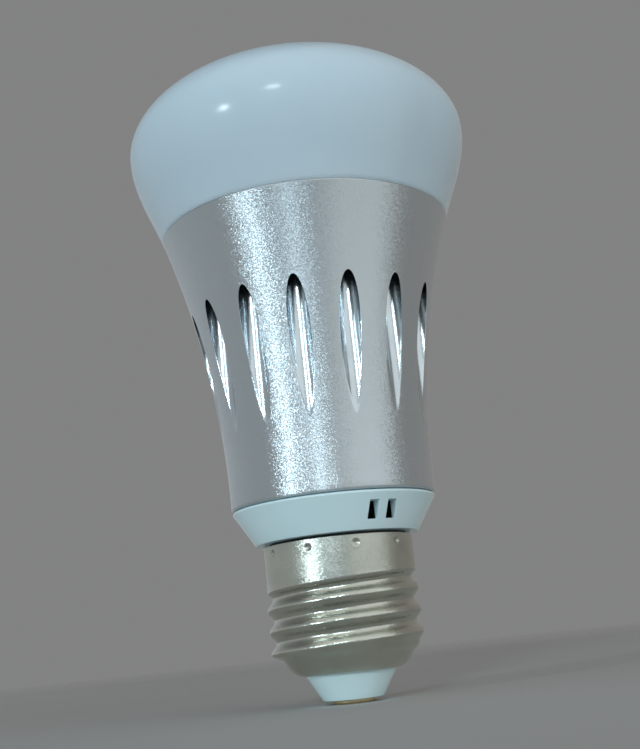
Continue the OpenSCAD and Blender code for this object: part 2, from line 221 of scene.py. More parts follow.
def add_tube(verts, faces, route, radius, sides=20):
    """Adds a round bar along a route, with closed ends."""
    first, n = len(verts), len(route)
    for i, p in enumerate(route):
        along = (route[min(i + 1, n - 1)] - route[max(i - 1, 0)]).normalized()
        side = Vector((0.1, 1, 0.05)).cross(along).normalized()
        up = along.cross(side)
        verts += [p + radius * (cos(a) * side + sin(a) * up) for a in angles(sides)]
    faces += capped_faces(n, sides, first)


def add_disc(verts, faces, centre, radius, height, sides=24):
    """Adds a low domed disc."""
    rings = [(0.0, 1.0), (0.4, 0.97), (0.8, 0.75), (1.0, 0.35)]
    first = len(verts)
    for up, share in rings:
        r = radius * share
        verts += [Vector(centre) + Vector((r * cos(a), r * sin(a), height * up))
                  for a in angles(sides)]
    faces += capped_faces(len(rings), sides, first)


def smooth_route(points, steps):
    """A Catmull-Rom curve through points in mm, in metres."""
    p = [Vector(q) * MM for q in points]
    route = []
    for i in range(len(p) - 1):
        a, b, c, d = p[max(i - 1, 0)], p[i], p[i + 1], p[min(i + 2, len(p) - 1)]
        for s in range(steps):
            t = s / steps
            route.append(0.5 * (2 * b + (c - a) * t + (2 * a - 5 * b + 4 * c - d) * t * t
                                + (3 * b - a - 3 * c + d) * t ** 3))
    return route + [p[-1]]


def ramp(low, high, x):
    """A smooth step from 0 at low to 1 at high."""
    t = min(max((x - low) / (high - low), 0), 1)
    return t * t * (3 - 2 * t)


# ---- materials
class Tree:
    """A node tree, with short calls for what these materials and the world use."""

    def __init__(self, tree):
        self.tree = tree
        self.tree.nodes.clear()

    def add(self, kind, **settings):
        node = self.tree.nodes.new(kind)
        for key, value in settings.items():
            setattr(node, key, value)
        return node

    def link(self, source, target):
        self.tree.links.new(source, target)

    def blend(self, factor, low, high):
        """A colour between two others, each a fixed colour or a socket."""
        node = self.add("ShaderNodeMix", data_type="RGBA")
        ends = [socket for socket in node.inputs if socket.type == "RGBA"]
        for socket, colour in zip(ends, (low, high)):
            if isinstance(colour, tuple):
                socket.default_value = (*colour, 1)
            else:
                self.link(colour, socket)
        self.link(factor, node.inputs["Factor"])
        return [socket for socket in node.outputs if socket.type == "RGBA"][0]

    def spread(self, value, low, high, start=0.3, stop=0.7, soft=False):
        """Maps a value from the range start to stop onto the range low to high."""
        node = self.add("ShaderNodeMapRange",
                        interpolation_type="SMOOTHSTEP" if soft else "LINEAR")
        for key, number in zip(("From Min", "From Max", "To Min", "To Max"),
                               (start, stop, low, high)):
            node.inputs[key].default_value = number
        self.link(value, node.inputs["Value"])
        return node.outputs["Result"]

    def math(self, operation, *values):
        node = self.add("ShaderNodeMath", operation=operation)
        for socket, value in zip(node.inputs, values):
            if isinstance(value, (int, float)):
                socket.default_value = value
            else:
                self.link(value, socket)
        return node.outputs["Value"]

    def vector(self, operation, first, second=None):
        """Vector arithmetic; the second operand is a socket, a tuple or nothing."""
        node = self.add("ShaderNodeVectorMath", operation=operation)
        self.link(first, node.inputs[0])
        if isinstance(second, tuple):
            node.inputs[1].default_value = second
        elif second:
            self.link(second, node.inputs[1])
        return node.outputs["Vector"]


class Look(Tree):
    """A material with a Principled shader."""

    def __init__(self, name):
        self.material = bpy.data.materials.new(name)
        self.material.use_nodes = True
        super().__init__(self.material.node_tree)
        self.shader = self.add("ShaderNodeBsdfPrincipled")
        self.output = self.add("ShaderNodeOutputMaterial")
        self.link(self.shader.outputs["BSDF"], self.output.inputs["Surface"])
        self.place = self.add("ShaderNodeTexCoord").outputs["Object"]

    def sockets(self, values):
        for key, value in values.items():
            self.shader.inputs[key].default_value = value

    def drive(self, key, source):
        self.link(source, self.shader.inputs[key])

    def stretched(self, scale):
        node = self.add("ShaderNodeMapping")
        node.inputs["Scale"].default_value = scale
        self.link(self.place, node.inputs["Vector"])
        return node.outputs["Vector"]

    def noise(self, scale, detail=3.0, vector=None):
        node = self.add("ShaderNodeTexNoise")
        node.inputs["Scale"].default_value = scale
        node.inputs["Detail"].default_value = detail
        self.link(vector or self.place, node.inputs["Vector"])
        return node.outputs["Fac"]

    def bump(self, height, distance):
        node = self.add("ShaderNodeBump")
        node.inputs["Distance"].default_value = distance
        self.link(height, node.inputs["Height"])
        self.drive("Normal", node.outputs["Normal"])


def finish_of(name, low, high, rough, grain, relief=2e-6, stretch=None, blotch=120, **sockets):
    """A surface between two tones, with fine relief and uneven gloss of the same grain."""
    look = Look(name)
    fine = look.noise(grain, 4, look.stretched(stretch) if stretch else None)
    look.drive("Base Color", look.blend(look.spread(look.noise(blotch), 0, 1), low, high))
    look.drive("Roughness", look.spread(fine, *rough))
    look.bump(fine, relief)
    look.sockets({key.replace("_", " "): value for key, value in sockets.items()})
    return look.material


def sparkle(look, cells_per_metre, lean_by):
    """Leans most tiny facets a little and a few of them far; returns a value per facet."""
    turned = look.add("ShaderNodeMapping")
    # no axis of the cells lies square to an upright wall, so no rings show on it
    turned.inputs["Rotation"].default_value = (0.6155, 0.7854, 0)
    look.link(look.place, turned.inputs["Vector"])
    cells = look.add("ShaderNodeTexVoronoi")
    cells.inputs["Scale"].default_value = cells_per_metre
    look.link(turned.outputs["Vector"], cells.inputs["Vector"])
    lean = look.vector("SUBTRACT", cells.outputs["Color"], (0.5, 0.5, 0.5))
    reach = look.vector("ADD", look.vector("ABSOLUTE", lean), (0.25, 0.25, 0.25))
    lean = look.vector("MULTIPLY", look.vector("MULTIPLY", lean, reach), lean_by)
    lean = look.vector("ADD", lean, look.add("ShaderNodeNewGeometry").outputs["Normal"])
    look.drive("Normal", look.vector("NORMALIZE", lean))
    parts = look.add("ShaderNodeSeparateColor")
    look.link(cells.outputs["Color"], parts.inputs["Color"])
    return parts.outputs["Blue"]


def blasted_aluminium():
    """Turned, bead-blasted and anodised: its lathe marks spread highlights up and down."""
    look = Look("blasted_aluminium")
    facet = sparkle(look, cells_per_metre=11000, lean_by=(0.42, 0.42, 0.12))
    look.drive("Base Color", look.blend(facet, (0.585, 0.66, 0.71), (0.62, 0.66, 0.68)))
    look.drive("Roughness", look.spread(look.noise(300), 0.335, 0.35))
    look.drive("Tangent", look.add("ShaderNodeTangent", axis="Z").outputs["Tangent"])
    look.sockets({"Metallic": 1.0, "Anisotropic": 0.97, "Anisotropic Rotation": 0.25})
    return look.material


def machined_aluminium():
    """Bright milled wall of a channel, with a fine speckle."""
    look = Look("machined_aluminium")
    sparkle(look, cells_per_metre=13000, lean_by=(0.18, 0.18, 0.18))
    look.drive("Base Color", look.blend(look.spread(look.noise(300), 0, 1), (0.48, 0.53, 0.56),
                                        (0.56, 0.61, 0.64)))
    look.drive("Roughness", look.spread(look.noise(900), 0.20, 0.23))
    look.sockets({"Metallic": 1.0})
    return look.material


def nickel_sheet():
    """Nickel-plated sheet: fine-grained on the skirt, burnished where the thread was rolled."""
    look = Look("nickel_sheet")
    sparkle(look, cells_per_metre=9000, lean_by=(0.32, 0.32, 0.14))
    blotches = look.noise(160, 3)
    look.drive("Base Color", look.blend(look.spread(blotches, 0, 1), (0.42, 0.43, 0.38),
                                        (0.50, 0.51, 0.455)))
    height = look.add("ShaderNodeSeparateXYZ")
    look.link(look.place, height.inputs["Vector"])
    burnished, grained, thread_end, skirt_start = 0.19, 0.30, 19.5 * MM, 21.5 * MM
    skirt = look.spread(height.outputs["Z"], burnished, grained, thread_end, skirt_start)
    look.drive("Roughness", look.math("ADD", skirt, look.spread(blotches, 0, 0.05)))
    look.sockets({"Metallic": 1.0})
    return look.material


MILKY = finish_of("milky_diffuser", (0.555, 0.69, 0.79), (0.57, 0.705, 0.805), (0.15, 0.18),
                  900, relief=4e-7, Subsurface_Weight=0.5, Subsurface_Radius=(1.0, 1.1, 1.2),
                  Subsurface_Scale=0.004, Specular_IOR_Level=0.14)
BLASTED = blasted_aluminium()
MACHINED = machined_aluminium()
# near-black painted shade for the wall of the relief groove under the collar, where the collar's
# shadow falls
GAP_SHADE = finish_of("collar_gap_shade", (0.02, 0.018, 0.016), (0.04, 0.036, 0.032), (0.5, 0.7), 1800,
                     relief=1e-5)
GLOSSY = dict(rough=(0.2, 0.26), grain=1200, relief=2e-7, Subsurface_Weight=0.15,
              Subsurface_Radius=(1.0, 1.0, 1.0), Subsurface_Scale=0.001)
WHITE = finish_of("white_moulding", (0.70, 0.90, 0.95), (0.73, 0.92, 0.97), **GLOSSY)
# the same white moulding made paler: painted light, standing in for light falling on the
# insulator from below
LIT_WHITE = finish_of("white_moulding_painted_light", (0.72, 0.93, 0.97), (0.76, 0.96, 0.99), **GLOSSY)
NICKEL = nickel_sheet()
BRASS = finish_of("contact_brass", (0.50, 0.40, 0.22), (0.62, 0.50, 0.30), (0.25, 0.45), 2500,
                  relief=5e-6, blotch=900, Metallic=1.0)
TIN = finish_of("tinned_steel", (0.58, 0.58, 0.56), (0.70, 0.70, 0.68), (0.2, 0.38), 2200,
                relief=3e-6, blotch=600, Metallic=1.0)
ZINC = finish_of("zinc_steel", (0.50, 0.52, 0.55), (0.66, 0.66, 0.62), (0.25, 0.4), 2600,
                 relief=3e-6, blotch=900, Metallic=1.0)
SILICONE = finish_of("grey_silicone", (0.40, 0.43, 0.46), (0.48, 0.50, 0.53), (0.6, 0.8), 1800,
                     relief=1e-5)
MASK_WHITE = finish_of("white_solder_mask", (0.74, 0.76, 0.74), (0.82, 0.83, 0.81), (0.3, 0.45),
                       2200, blotch=260)
MASK_DARK = finish_of("dark_solder_mask", (0.010, 0.030, 0.022), (0.018, 0.050, 0.034),
                      (0.25, 0.4), 2500, blotch=500)
MASK_GREEN = finish_of("green_solder_mask", (0.02, 0.12, 0.04), (0.03, 0.17, 0.06), (0.3, 0.45),
                       2500, blotch=400)
GOLD = finish_of("gold_plate", (0.75, 0.55, 0.22), (0.85, 0.66, 0.30), (0.2, 0.35), 3000,
                 blotch=900, Metallic=1.0)
PHOSPHOR = finish_of("phosphor_gel", (0.72, 0.50, 0.05), (0.82, 0.62, 0.10), (0.25, 0.4), 5000,
                     relief=8e-6, blotch=2500, Subsurface_Weight=0.3,
                     Subsurface_Radius=(1.0, 0.7, 0.2), Subsurface_Scale=0.0005)
GEL = finish_of("clear_gel", (0.55, 0.56, 0.50), (0.66, 0.66, 0.60), (0.08, 0.16), 4000,
                relief=4e-6, blotch=2500)
LED_WHITE = finish_of("led_package", (0.78, 0.78, 0.74), (0.86, 0.86, 0.82), (0.35, 0.5), 4000,
                      relief=3e-6, blotch=1500)
IVORY = finish_of("ivory_nylon", (0.70, 0.66, 0.52), (0.78, 0.74, 0.60), (0.35, 0.5), 2600,
                  relief=4e-6, blotch=700)
BLACK = finish_of("black_moulding", (0.012, 0.012, 0.013), (0.025, 0.025, 0.026), (0.4, 0.6),
                  3000, relief=6e-6, blotch=900)
FERRITE = finish_of("ferrite", (0.035, 0.035, 0.040), (0.070, 0.068, 0.072), (0.45, 0.65), 3500,
                    relief=1e-5, blotch=1400)
TAPE = finish_of("yellow_tape", (0.72, 0.48, 0.05), (0.80, 0.56, 0.10), (0.2, 0.3), 1500,
                 relief=6e-6, blotch=500)
COPPER = finish_of("enamelled_copper", (0.45, 0.14, 0.05), (0.62, 0.24, 0.09), (0.2, 0.35), 2400,
                   relief=1.5e-5, stretch=(1, 6, 1), blotch=900, Metallic=1.0)
SLEEVE = finish_of("shrink_sleeve", (0.015, 0.022, 0.035), (0.030, 0.040, 0.060), (0.2, 0.35),
                   1600, relief=4e-6, blotch=600)
EPOXY = finish_of("epoxy_box", (0.55, 0.28, 0.04), (0.66, 0.36, 0.07), (0.25, 0.4), 1800,
                  relief=5e-6, blotch=700)
CEMENT = finish_of("cement_coat", (0.07, 0.20, 0.13), (0.10, 0.27, 0.18), (0.5, 0.7), 3500,
                   relief=1.2e-5, blotch=1200)
CHIP = finish_of("chip_ceramic", (0.22, 0.15, 0.09), (0.36, 0.26, 0.17), (0.4, 0.6), 4000,
                 relief=5e-6, blotch=2500)


def wire_sleeve(name, colour):
    """PVC insulation of one colour."""
    pale = tuple(min(1, 1.25 * c + 0.01) for c in colour)
    return finish_of(name, colour, pale, (0.35, 0.5), 2500, relief=4e-6, blotch=900)


# ---- diffuser
def flare(t, inset):
    """A point of the diffuser between its lower edge (t = 0) and its widest ring (t = 1)."""
    h = WIDEST_Z - SEAM_Z
    slope = 2 * (RIM_R - SINK_R) / (RIM_Z - SINK_Z)
    r = (RIM_R * (2 * t ** 3 - 3 * t ** 2 + 1) + h * slope * (t ** 3 - 2 * t ** 2 + t)
         + WIDEST_R * (3 * t ** 2 - 2 * t ** 3))
    return Vector((r - inset, SEAM_Z + t * h))


def crown(a, inset):
    """A point of the crown, from the widest ring (a = 0) to the top (a = 90 degrees)."""
    return Vector(((WIDEST_R - inset) * cos(a), WIDEST_Z + (TOP_Z - WIDEST_Z - inset) * sin(a)))


def diffuser():
    edge = 0.12 * MM
    flare_steps, crown_steps = 24, 44
    top = radians(89.8)
    outside = [flare(0, edge)]
    outside += [flare(t / flare_steps, 0) + Vector((0, edge if t == 0 else 0))
                for t in range(flare_steps)]
    outside += [crown(top * s / crown_steps, 0) for s in range(crown_steps + 1)]
    inside = [crown(top * s / crown_steps, DOME_WALL) for s in reversed(range(crown_steps + 1))]
    inside += [flare(t / flare_steps, DOME_WALL) for t in reversed(range(1, flare_steps))]
    skirt_z = LEDGE_Z + 0.6 * MM
    shoulder = [(SKIRT_INNER_R, SEAM_Z + DOME_WALL), (SKIRT_INNER_R, skirt_z),
                (SKIRT_OUTER_R - edge, skirt_z), (SKIRT_OUTER_R, skirt_z + edge),
                (SKIRT_OUTER_R, SEAM_Z)]
    points = outside + inside + [Vector(p) for p in shoulder]
    columns = 256
    verts, faces = lathe(points, columns)
    # close the two small holes at the poles
    last_out = len(outside) - 1
    faces = [f for i, f in enumerate(faces) if i // columns != last_out]
    for row, order in ((last_out, 1), (last_out + 1, -1)):
        faces.append(tuple(row * columns + c for c in range(columns))[::order])
    piece = make("diffuser_dome", verts, faces, [MILKY], body=COVER, slot="diffuser", sharp=40)
    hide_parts("diffuser")


# ---- heat sink
def sink_radius(z):
    t = (z - SINK_Z) / (RIM_Z - SINK_Z)
    return SINK_R + (RIM_R - SINK_R) * t * t


def sink_height(r):
    return SINK_Z + (RIM_Z - SINK_Z) * sqrt((r - SINK_R) / (RIM_R - SINK_R))


def arc_of(cosine):
    return acos(min(max(cosine, -1), 1))


def slot_half(r, channel_r):
    """Half the angle about the bulb's axis that a channel opens at radius r."""
    return arc_of((r * r + CHANNEL_CIRCLE ** 2 - channel_r ** 2) / (2 * r * CHANNEL_CIRCLE))


def wall_start(r):
    """Where a channel's wall meets radius r, as an angle about the channel's own axis."""
    return arc_of((r * r - CHANNEL_CIRCLE ** 2 - CHANNEL_R ** 2)
                  / (2 * CHANNEL_CIRCLE * CHANNEL_R))


def heat_sink():
    """One loop of rows round the section; the rows open into slots where channels break out."""
    slot_rows, columns, wall_columns = 56, 17, 25
    corner_steps, below_steps, above_steps = 6, 12, 18
    wide = CHANNEL_R + CHANNEL_BREAK
    low_a, high_a = sink_height(CHANNEL_CIRCLE - wide), sink_height(CHANNEL_CIRCLE + wide)
    low_b = sink_height(CHANNEL_CIRCLE - CHANNEL_R + CHANNEL_BREAK)
    shares = [(1 - cos(pi * i / slot_rows)) / 2 for i in range(slot_rows + 1)]
    skin_z = [low_a + (high_a - low_a) * s for s in shares]
    wall_z = [low_b + (high_a - low_b) * s for s in shares]
    cap_z = LEDGE_Z - 0.5 * MM

    corner, bevel = 0.45 * MM, 0.15 * MM
    rows = [(SINK_R - corner * (1 - sin(a)), SINK_Z + corner * (1 - cos(a)), 0)
            for a in [pi / 2 * i / corner_steps for i in range(corner_steps)]]
    below = [SINK_Z + corner + (low_a - SINK_Z - corner) * i / below_steps
             for i in range(below_steps)]
    above = [high_a + (RIM_Z - bevel - high_a) * i / above_steps
             for i in range(1, above_steps + 1)]
    rows += [(sink_radius(z), z, 0) for z in below]
    rows += [(sink_radius(z), z, slot_half(sink_radius(z), wide)) for z in skin_z]
    rows += [(sink_radius(z), z, 0) for z in above]
    outer_rows = len(rows)
    rows += [(RIM_R - 0.1 * MM, RIM_Z, 0), (RECESS_R + bevel, RIM_Z, 0),
             (RECESS_R, RIM_Z - bevel, 0), (RECESS_R, LEDGE_Z, 0), (CORE_R, LEDGE_Z, 0),
             (CORE_R, SINK_Z, 0)]

    verts, faces, looks = [], [], []
    for k in range(CHANNELS):
        here = CHANNEL_TURN + k * CHANNEL_STEP
        first = len(verts)
        for r, z, half in rows:
            for c in range(columns):
                a = here + half + (CHANNEL_STEP - 2 * half) * c / (columns - 1)
                verts.append((r * cos(a), r * sin(a), z))
        skin = grid_faces(len(rows), columns, first)
        last = first + (len(rows) - 1) * columns
        skin += [(last + c, last + c + 1, first + c + 1, first + c) for c in range(columns - 1)]
        faces += skin
        looks += [0 if i // (columns - 1) < outer_rows - 1 else 1 for i in range(len(skin))]

        first = len(verts)
        starts = [wall_start(sink_radius(z) - CHANNEL_BREAK) for z in wall_z]
        starts[0], starts[-1] = pi, 0
        spin = Matrix.Rotation(here, 3, "Z")
        levels = list(zip(wall_z, starts)) + [(cap_z, 0)]
        for z, start in levels:
            for c in range(wall_columns):
                a = start + (2 * pi - 2 * start) * c / (wall_columns - 1)
                verts.append(spin @ Vector((CHANNEL_CIRCLE + CHANNEL_R * cos(a),
                                            CHANNEL_R * sin(a), z)))
        wall = grid_faces(len(levels), wall_columns, first)
        cap = first + (len(levels) - 1) * wall_columns
        wall.append(tuple(cap + c for c in range(wall_columns - 1)))
        # broken edge: a strip from the skin's opening to the channel's wall, on both sides
        strip = len(verts)
        for side in (1, -1):
            for z in skin_z:
                r = sink_radius(z)
                a = here + side * slot_half(r, wide)
                verts.append((r * cos(a), r * sin(a), z))
        for side in (0, 1):
            column = 0 if side == 0 else wall_columns - 1
            for i in range(slot_rows):
                a, b = strip + side * (slot_rows + 1) + i, first + i * wall_columns + column
                wall.append((a, a + 1, b + wall_columns, b))
        faces += wall
        paint(looks, faces, 1)
    piece = make("heat_sink_body", verts, faces, [BLASTED, MACHINED], slot="anodised",
                 face_slots=looks, sharp=32)
    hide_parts("heat_sink")


# ---- driver housing
def driver_housing():
    """White moulding: a loop of rows whose columns line up with the collar's windows."""
    neck_r, seat_r = ROOT_R - SHEET - 0.2 * MM, SKIRT_R - SHEET - 0.1 * MM
    relief_r = seat_r - 0.6 * MM
    top_z = SINK_Z - 0.2 * MM
    cone_r, cone_z = SINK_R - 0.22 * MM, top_z - 0.35 * MM
    low_z = COLLAR_Z + 0.02 * MM

    def on_cone(z):
        return COLLAR_R + (cone_r - COLLAR_R) * (z - low_z) / (cone_z - low_z)

    steps = 6
    heights = [WINDOW_LOW_Z + (WINDOW_TOP_Z - WINDOW_LOW_Z) * i / steps for i in range(steps + 1)]
    fine = 0.001 * MM
    before = outline([(NECK_BORE_R, NECK_LOW_Z), (neck_r, NECK_LOW_Z, 0.3 * MM),
                      (neck_r, NECK_TOP_Z), (seat_r, SEAT_LOW_Z),
                      (seat_r, SHELL_TOP_Z - 0.2 * MM),
                      (relief_r, SHELL_TOP_Z), (relief_r, COLLAR_Z),
                      (COLLAR_R, COLLAR_Z, 0.15 * MM),
                      (on_cone(WINDOW_LOW_Z - 0.5 * MM), WINDOW_LOW_Z - 0.5 * MM)])
    after = outline([(on_cone(WINDOW_TOP_Z + 0.3 * MM), WINDOW_TOP_Z + 0.3 * MM),
                     (cone_r + 0.08 * MM, cone_z, 0.12 * MM),
                     (cone_r - 0.02 * MM, top_z, 0.22 * MM),
                     (SINK_R - 1.1 * MM, top_z), (SINK_R - 1.2 * MM, SINK_Z - fine),
                     (TUBE_R, SINK_Z - fine), (TUBE_R, HOUSING_HIGH.z, 0.3 * MM),
                     (TUBE_BORE_R, HOUSING_HIGH.z), (TUBE_BORE_R, SINK_Z),
                     (POCKET_R, SINK_Z - 0.8 * MM)])
    rows = [tuple(p) for p in before]
    outer_first = len(rows)
    rows += [(on_cone(z), z) for z in heights]
    rows += [tuple(p) for p in after]
    inner_first = len(rows)
    rows += [(POCKET_R, z) for z in reversed(heights)]
    rows += [(POCKET_R, POCKET_Z), (NECK_BORE_R + 0.8 * MM, POCKET_Z),
             (NECK_BORE_R, POCKET_Z - 0.8 * MM)]

    between = 40
    cuts = [(WINDOW_TURN + side, offset) for side in (0, pi) for offset in WINDOW_OFFSETS]
    verts, faces = [], []
    per_row = len(cuts) * (between + 1)
    for r, z in rows:
        edges = [[turn + asin((offset + side * WINDOW_HALF) / r) for side in (-1, 1)]
                 for turn, offset in cuts]
        for j, (_, start) in enumerate(edges):
            last = j + 1 == len(cuts)
            stop = edges[(j + 1) % len(cuts)][0] + (2 * pi if last else 0)
            for c in range(between + 1):
                a = start + (stop - start) * c / between
                verts.append((r * cos(a), r * sin(a), z))

    def index(row, column):
        return row % len(rows) * per_row + column % per_row

    looks = []
    for i in range(len(rows)):
        in_window = outer_first <= i < outer_first + steps or (
            inner_first <= i < inner_first + steps)
        for c in range(per_row):
            opening = c % (between + 1) == between
            if not (opening and in_window):
                # the relief groove's wall gets the near-black painted shade
                in_relief = abs(rows[i][0] - relief_r) < fine and rows[i][1] < COLLAR_Z - fine
                looks.append(1 if in_relief else 0)
                faces.append((index(i, c), index(i, c + 1), index(i + 1, c + 1),
                              index(i + 1, c)))
    for j in range(len(cuts)):
        left, right = j * (between + 1) + between, (j + 1) * (between + 1)
        for s in range(steps):
            out_a, in_a = outer_first + s, inner_first + steps - s
            for column in (left, right):
                faces.append((index(out_a, column), index(out_a + 1, column),
                              index(in_a - 1, column), index(in_a, column)))
        for out_a, in_a in ((outer_first, inner_first + steps),
                            (outer_first + steps, inner_first)):
            faces.append((index(out_a, left), index(out_a, right), index(in_a, right),
                          index(in_a, left)))
    paint(looks, faces, 0)
    piece = make("driver_housing_moulding", verts, faces, [WHITE, GAP_SHADE],
                 slot="white_housing", face_slots=looks, sharp=50)
    soften = piece.modifiers.new("soft_edges", "BEVEL")
    soften.width, soften.segments, soften.limit_method = 0.1 * MM, 3, "ANGLE"
    soften.angle_limit = radians(50)
    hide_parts("driver_housing")


# ---- screw cap
def shell_radius(z, a):
    """Outside of the screw shell: rounded nose, rolled thread, plain skirt, dimples."""
    below = min(max((LIP_Z + NOSE_H - z) / NOSE_H, 0), 1)
    nose = NOSE_CONE * below + NOSE_ROUND * (1 - sqrt(1 - below * below))
    middle = (CREST_R + ROOT_R) / 2
    skirt_start = SKIRT_LOW_Z + PITCH / 4 * cos(a)
    skirt = ramp(skirt_start - 1 * MM, skirt_start, z)
    start = ramp(THREAD_LOW_Z, THREAD_FULL_Z, z)
    swing = cos(2 * pi * (z - CREST_Z) / PITCH - a)
    wave = (CREST_R - ROOT_R) / 2 * swing * (1 + THREAD_FULLNESS * (1 - swing * swing))
    r = NOSE_R - nose + (middle - NOSE_R + wave * (1 - skirt)) * start
    r += (SKIRT_R - middle) * skirt
    if abs(z - DIMPLE_Z) < DIMPLE_REACH:
        step = 2 * pi / DIMPLES
        off = ((a - DIMPLE_TURN + step / 2) % step - step / 2) * SKIRT_R
        away = sqrt(off * off + (z - DIMPLE_Z) ** 2)
        r += RIDGE_H * exp(-((away - RIDGE_R) / RIDGE_W) ** 2)
        r -= DIMPLE_DEPTH * exp(-(away / DIMPLE_R) ** 2)
    return r


def screw_shell():
    """Thin sheet: outside rows from the lip to the top, then coarser ones back inside."""
    columns, thread_rows, climb = 480, 83, 0.7
    thread_step, dimple_step, skirt_step = 0.17 * MM, 0.12 * MM, 0.4 * MM
    edge_z, edge_in = SHELL_TOP_Z - 0.06 * MM, 0.08 * MM
    low = [LIP_Z + s * MM for s in (0, 0.03, 0.09, 0.2, 0.36, 0.6, 0.9, 1.3, 1.7, 2.1)]
    heights = low + [THREAD_LOW_Z - 0.1 * MM + i * thread_step for i in range(thread_rows)]
    z = heights[-1]
    while z < edge_z - 0.1 * MM:
        z += dimple_step if abs(z - DIMPLE_Z) < 1.1 * MM else skirt_step
        heights.append(min(z, edge_z))
    rows = [(h, 0.0) for h in heights] + [(SHELL_TOP_Z, edge_in)]
    coarse = heights[::3]
    inner = [(SHELL_TOP_Z, SHEET - edge_in), (edge_z, SHEET)]
    inner += [(h, SHEET) for h in reversed(coarse[:-1])]
    verts = []
    for h, inset in rows + inner:
        up = max(h, LIP_Z + SHEET + (h - LIP_Z) * climb) if inset >= SHEET else h
        for a in angles(columns):
            r = shell_radius(h, a) - inset
            verts.append((r * cos(a), r * sin(a), up))
    verts += [(LIP_R * cos(a), LIP_R * sin(a), up) for up in (LIP_Z + SHEET, LIP_Z)
              for a in angles(columns)]
    faces = ring_faces(len(verts) // columns, columns, closed=True)
    piece = make("screw_shell_sheet", verts, faces, [NICKEL], slot="nickel", sharp=50)
    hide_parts("screw_shell")


def insulator():
    # the insulator wears the paler copy of the white moulding, which is painted light
    piece = turned("insulator_cone", [
        (1, 0.7), (5.1, 0.7, 0.35), (7.72, 4.98, 0.1), (7.75, 5.1), (7.75, 5.6), (8.6, 5.7),
        (8.6, 7.1), (1, 7.1)], [LIT_WHITE], slot="white_insulator")
    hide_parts("insulator")


def contact():
    plate = turned("contact_plate", [
        (1, 0.7), (3.7, 0.7), (3.7, 0, 0.3), (2.4, 0, 0.1), (2.1, 0.35, 0.1), (1, 0.35)],
        [BRASS], columns=96, slot="contact_brass")
    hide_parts("centre_contact")
    nail = turned("contact_rivet", [
        (0.001, 0.05), (1.6, 0.08, 0.5), (2.0, 0.2, 0.05), (2.0, 0.35), (0.95, 0.35),
        (0.95, 7.3, 0.2), (0.001, 7.3)], [TIN], columns=64, slot="tinned")
    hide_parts("contact_nail")


# ---- LED deck
LEDS_Z = BOARD_HIGH.z
SCREW_TURN = CHANNEL_TURN + CHANNEL_STEP / 2
SLOT_X, SLOT_LOW_Y, SLOT_HIGH_Y = 8.8 * MM, -4.9 * MM, 1.8 * MM
# for each ring of LEDs: how many, the ring's radius and turn, and a package's width
LED_RINGS = [(18, 16.8 * MM, SCREW_TURN - radians(10), 3.0 * MM), (6, 11.9 * MM, 0.0, 3.5 * MM)]


def around(count, radius, turn):
    """Places on a ring: (x, y, angle)."""
    return [(radius * cos(a), radius * sin(a), a) for a in angles(count, turn)]


def led_board():
    """Round board with the slot, and the tracks under its mask as a low relief."""
    outer = BOARD_HIGH.x
    columns, rings = 176, 7
    edge = 0.08 * MM
    low, high = BOARD_LOW.z, BOARD_HIGH.z

    def slot_point(a):
        """Where a ray from the slot's middle meets the slot's rounded outline."""
        middle = Vector((0, (SLOT_LOW_Y + SLOT_HIGH_Y) / 2))
        half = Vector((SLOT_X, (SLOT_HIGH_Y - SLOT_LOW_Y) / 2))
        power = 14
        ray = Vector((cos(a), sin(a)))
        reach = (abs(ray.x / half.x) ** power + abs(ray.y / half.y) ** power) ** (-1 / power)
        return middle + ray * reach

    rows = [(j / rings, high) for j in range(rings + 1)] + [(1, high - edge), (1, low), (0, low)]
    verts = []
    for j, z in rows:
        reach = outer - (edge if (j, z) in ((1, high), (1, low)) else 0)
        for a in angles(columns):
            near, far = slot_point(a), Vector((cos(a), sin(a))) * reach
            p = near.lerp(far, j)
            verts.append((p.x, p.y, z))
    faces = ring_faces(len(rows), columns, closed=True)
    looks = []
    # tracks: broken rings that join neighbouring LEDs, and a tinned pad at each LED's ends
    relief, bevel, track_w, pad_l = 0.05 * MM, 0.02 * MM, 1.3 * MM, 0.5 * MM
    for count, radius, turn, size in LED_RINGS:
        for x, y, a in around(count, radius, turn + pi / count):
            length = 2 * pi * radius / count - size - pad_l
            add_box(verts, faces, (x, y, high + relief / 2), (track_w, length, relief), a, bevel)
            paint(looks, faces, 0)
        for x, y, a in around(count, radius, turn):
            for side in (-1, 1):
                off = side * (size / 2 + 0.15 * MM)
                px, py = x - sin(a) * off, y + cos(a) * off
                add_box(verts, faces, (px, py, high + relief), (size * 0.7, pad_l, relief), a,
                        bevel)
                paint(looks, faces, 1)
    piece = make("led_board_disc", verts, faces, [MASK_WHITE, TIN], slot="board_mask",
                 face_slots=looks, sharp=30)
    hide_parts("led_board")


def add_led(verts, faces, looks, place, size, tall, bevel, gel_r, gel_h):
    """Adds a package with a disc of gel that stands out of its top."""
    (x, y, a), sunk = place, 0.02 * MM
    add_box(verts, faces, (x, y, LEDS_Z + tall / 2), (size, size, tall), a, bevel)
    paint(looks, faces, 0)
    add_disc(verts, faces, (x, y, LEDS_Z + tall - sunk), gel_r, gel_h)
    paint(looks, faces, 1)


def white_leds():
    """White packages with a round cup of phosphor gel."""
    count, radius, turn, size = LED_RINGS[0]
    verts, faces, looks = [], [], []
    for place in around(count, radius, turn):
        add_led(verts, faces, looks, place, size, tall=0.66 * MM, bevel=0.12 * MM,
                gel_r=1.2 * MM, gel_h=0.06 * MM)
    piece = make("white_led_ring", verts, faces, [LED_WHITE, PHOSPHOR], slot="phosphor",
                 face_slots=looks, sharp=30)
    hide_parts("white_leds")


